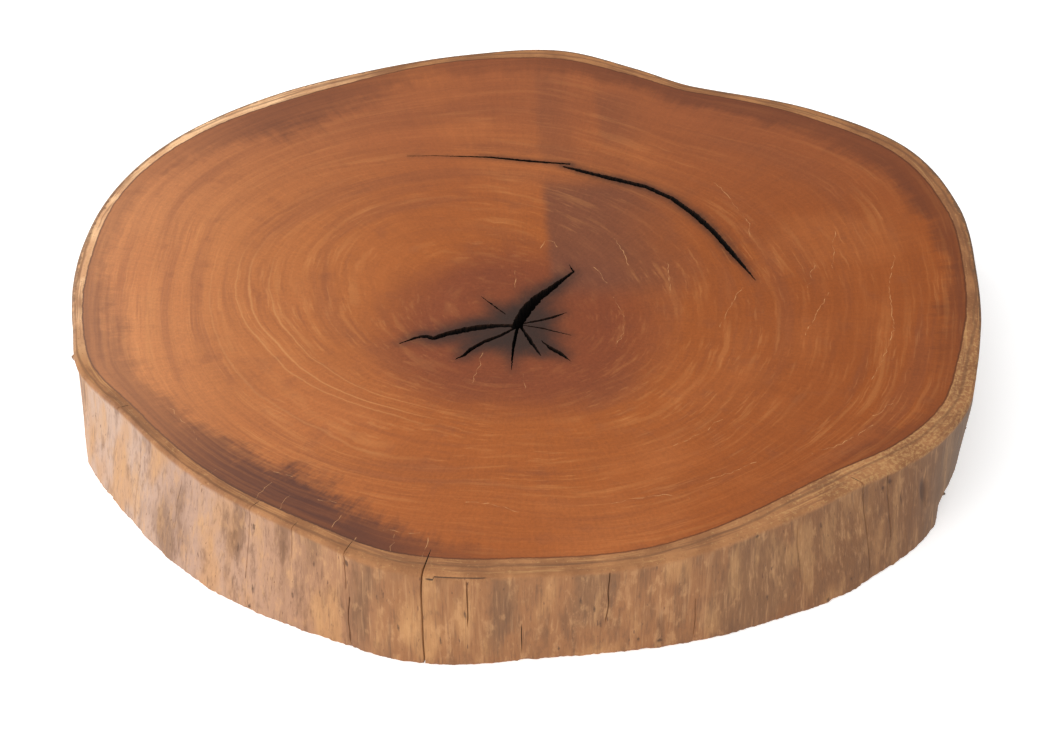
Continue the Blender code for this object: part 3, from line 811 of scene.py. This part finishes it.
under_lines = []
for n in UNDERSIDE_CHECKS:
    depth, line, across = crack_lines[n]
    narrow = line * np.array([1.0, 1.0, UNDERSIDE_WIDTH])
    under_lines.append((depth * UNDERSIDE_DEPTH, narrow, across))
under_cracks = [
    crack_outline(line, across, UNDERSIDE_JAG, 50.0 + n)
    for n, (_, line, across) in enumerate(under_lines)]
under_edge = side_place[0, :, :2]
under_inner = inside_points(lambda a: trunk_radius(a, 0.0 * a) - 4.0, UNDERSIDE_STEP)
under_inner = clear_of(under_inner, under_cracks, 1.5)
add_face(*flat_face(under_edge, under_inner, under_cracks, []), under_lines, 0, 0.0, -1, SAWN)


# Sawn underside: unoiled, so its rings are paler and greyer than those of the face.
underside, tree, shader = new_material("sawn_underside")
materials.append(underside)
spot = add_node("TexCoord", out="Object")
from_pith = add_node("VectorMath", {0: spot, 1: (PITH_X / 1000, PITH_Y / 1000, 0.0)},
                     operation="SUBTRACT")
outward = add_node("VectorMath", {0: from_pith}, operation="NORMALIZE")
from_middle = add_node("VectorMath", {0: from_pith}, "Value", operation="LENGTH")
clouds = add_node("TexNoise", {"Vector": spot, "Scale": 1000 / 143, "Detail": 4.0})
age = add_node("Attribute", out="Fac", attribute_name="age")
stirred_age = add_node("Math", {0: clouds, 1: 0.03, 2: age}, operation="MULTIPLY_ADD")
inside = add_node("Attribute", out="Fac", attribute_name="inside_sapwood")
rings = ring_noise(58.0, 4.5, 2.0)
# The blade's marks, 5 mm apart.
blade = add_node("TexWave", {"Vector": spot, "Scale": 60.0, "Distortion": 2.0, "Detail": 2.0,
                             "Detail Scale": 0.6}, "Fac", bands_direction="DIAGONAL")
sawn = tinted(linear("#8F5E3E"), clouds, 0.35, 0.65, 1.0, "#A8754E")
sawn = tinted(sawn, ring_noise(13.0, 1.3, 3.0), 0.52, 0.70, 0.5, "#7A4C34")
sawn = tinted(sawn, rings, 0.50, 0.70, 0.5, "#B9875C")
sawn = tinted(sawn, ring_noise(150.0, 11.0), 0.50, 0.70, 0.35, "#6F4630")
sawn = tinted(sawn, from_middle, 0.10, 0.02, 0.7, "#6E4030")
sawn = tinted(sawn, blade, 0.30, 0.90, 0.18, "#C49C78")
stain = add_node("Attribute", out="Fac", attribute_name="stain")
sawn = tinted(sawn, stain, 0.30, 1.00, 0.6, "#33271F")
sawn = tinted(sawn, inside, 26.0, 2.0, 0.45, "#6B4534")
band = sapwood_tan()
band_part = add_node("MapRange", {"Value": inside, "From Min": 1.2, "From Max": -1.0},
                     interpolation_type="SMOOTHSTEP")
sawn = add_node("Mix", {0: band_part, 6: sawn, 7: band}, 2, data_type="RGBA")
tree.links.new(sawn, shader.inputs["Base Color"])
shader.inputs["Roughness"].default_value = 0.85
bump = add_node("Bump", {"Strength": 0.4, "Distance": 0.0006, "Height": blade})
tree.links.new(bump, shader.inputs["Normal"])


# Corners that no face uses go, because a face's rim is the side's own row of corners.
used = np.zeros(len(corners), bool)
for face in faces:
    used[list(face)] = True
renumber = np.cumsum(used) - 1
place = np.array(corners)[used]
faces = [tuple(int(renumber[v]) for v in face) for face in faces]

flat_x, flat_y = place[:, 0], place[:, 1]
radius = np.hypot(flat_x, flat_y)
turn_of = np.degrees(np.arctan2(flat_y, flat_x))
spread = trunk_radius(turn_of, np.clip(place[:, 2], 0, THICKNESS)) / round_curve(RIM, turn_of)
rim_radius = round_curve(RIM, turn_of)
face_radius = radius / spread
# The stain: darkest at its middle, with a haze round each check.
from_stain = np.hypot(flat_x + STAIN_MIDDLE[0], flat_y + STAIN_MIDDLE[1])
clean = 1.0 - 0.96 * np.exp(-((from_stain / STAIN_RADIUS) ** 3))
for n, (_, line, _) in enumerate(crack_lines):
    star = n < len(HEART_CHECKS)
    haze = np.zeros(len(place))
    for x, y, width in line[::3]:
        spread_of = (8.0 + 1.5 * width) if star else (5.0 + 1.0 * width)
        strength = min(1.0, 0.35 + width / 8.0) * (0.85 if star else 0.75)
        near = np.exp(-((np.hypot(flat_x - x, flat_y - y) / spread_of) ** 2))
        haze = np.maximum(haze, strength * near)
    clean *= 1.0 - haze
stain = 1.0 - clean

mesh = bpy.data.meshes.new("wood_slice_grown")
mesh.from_pydata([
    ((x + PITH_X) / 1000.0, (y + PITH_Y) / 1000.0, z / 1000.0) for x, y, z in place], [], faces)
mesh.polygons.foreach_set("material_index", finish)
mesh.polygons.foreach_set("use_smooth", [f == PEELED for f in finish])


def attribute(name, values, domain="POINT"):
    layer = mesh.attributes.new(name, "FLOAT", domain)
    layer.data.foreach_set("value", np.asarray(values, np.float32))


def on_side(grid):
    """Values of the side's grid, and nothing on the other corners."""
    values = np.zeros(len(corners))
    values[: grid.size] = grid.ravel()
    return values[used]


attribute("age", ring_age(turn_of, face_radius))
attribute("inside_sapwood", rim_radius - round_curve(SAPWOOD, turn_of) - face_radius)
attribute("to_rim", rim_radius - face_radius)
attribute("fringe_width", round_curve([(at, width) for at, width, _ in FRINGE], turn_of))
attribute("fringe_strength", round_curve([(at, dark) for at, _, dark in FRINGE], turn_of))
attribute("stain", stain)
attribute("split", on_side(split))
attribute("fleck", on_side(fleck))
attribute("edge_slit", on_side(edge_slit))
attribute("fine_check", dusty, "FACE")
mesh.validate()
mesh.update()
for material in materials:
    mesh.materials.append(material)
wood_slice = bpy.data.objects.new("wood_slice_grown", mesh)
bpy.context.scene.collection.objects.link(wood_slice)
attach(wood_slice, "root")
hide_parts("wood_slice")


# The studio: a seamless white floor lit from below as well, so that it shows hardly a shadow,
# even soft light that is brightest in front, and a soft light at the back left whose
# reflection lies on the left of the polished face.
FLOOR_HALF = 6.0
floor_mesh = bpy.data.meshes.new("studio_floor")
floor_mesh.from_pydata([(-FLOOR_HALF, -FLOOR_HALF, 0), (FLOOR_HALF, -FLOOR_HALF, 0),
                        (FLOOR_HALF, FLOOR_HALF, 0), (-FLOOR_HALF, FLOOR_HALF, 0)], [], [(0, 1, 2, 3)])
floor = bpy.data.objects.new("studio_floor", floor_mesh)
bpy.context.scene.collection.objects.link(floor)
white_floor, tree, shader = new_material("white_floor")
shader.inputs["Base Color"].default_value = linear("#FAFAFA")
shader.inputs["Roughness"].default_value = 1.0
shader.inputs["Specular IOR Level"].default_value = 0.0
shader.inputs["Emission Color"].default_value = linear("#FFFFFF")
shader.inputs["Emission Strength"].default_value = 0.38
floor_mesh.materials.append(white_floor)

world = bpy.data.worlds.new("studio")
world.use_nodes = True
tree = world.node_tree
towards = add_node("TexCoord", out="Generated")
towards = add_node("VectorMath", {0: towards, 1: (-0.45, -0.80, 0.40)}, "Value", operation="DOT_PRODUCT")
strength = add_node("MapRange", {"Value": towards, "From Min": -0.35, "From Max": 0.55, "To Min": 0.18},
                    interpolation_type="SMOOTHSTEP")
tree.links.new(strength, tree.nodes["Background"].inputs["Strength"])
tree.nodes["Background"].inputs["Color"].default_value = (1.0, 1.0, 1.0, 1.0)
bpy.context.scene.world = world
bpy.context.scene.view_settings.view_transform = "Standard"


def soft_light(name, place, aim, size, watts):
    lamp = bpy.data.lights.new(name, "AREA")
    lamp.shape = "DISK"
    lamp.size = size
    lamp.energy = watts
    holder = bpy.data.objects.new(name, lamp)
    holder.location = place
    holder.rotation_euler = (Vector(aim) - Vector(place)).to_track_quat("-Z", "Y").to_euler()
    bpy.context.scene.collection.objects.link(holder)


soft_light("soft_light_back_left", (-1.7, 1.7, 1.6), (-0.2, 0, 0.1), 1.4, 22.0)
soft_light("soft_light_above", (-0.3, -0.5, 2.6), (0, 0, 0.1), 3.0, 17.0)
soft_light("soft_light_front_left", (-2.0, -1.6, 1.7), (0, 0, 0.1), 2.0, 18.0)


# The camera stands in front of the slice and looks 38.6 degrees down on the polished face,
# with the long lens of a studio.
LOOKS_DOWN = 38.6
camera_data = bpy.data.cameras.new("camera")
camera_data.lens = 74.0
camera_data.sensor_width = 36.0
camera = bpy.data.objects.new("camera", camera_data)
camera.location = (-0.0015, -1.7387, 1.3763)
camera.rotation_euler = (math.radians(90.0 - LOOKS_DOWN), 0.0, 0.0)
bpy.context.scene.collection.objects.link(camera)
bpy.context.scene.camera = camera
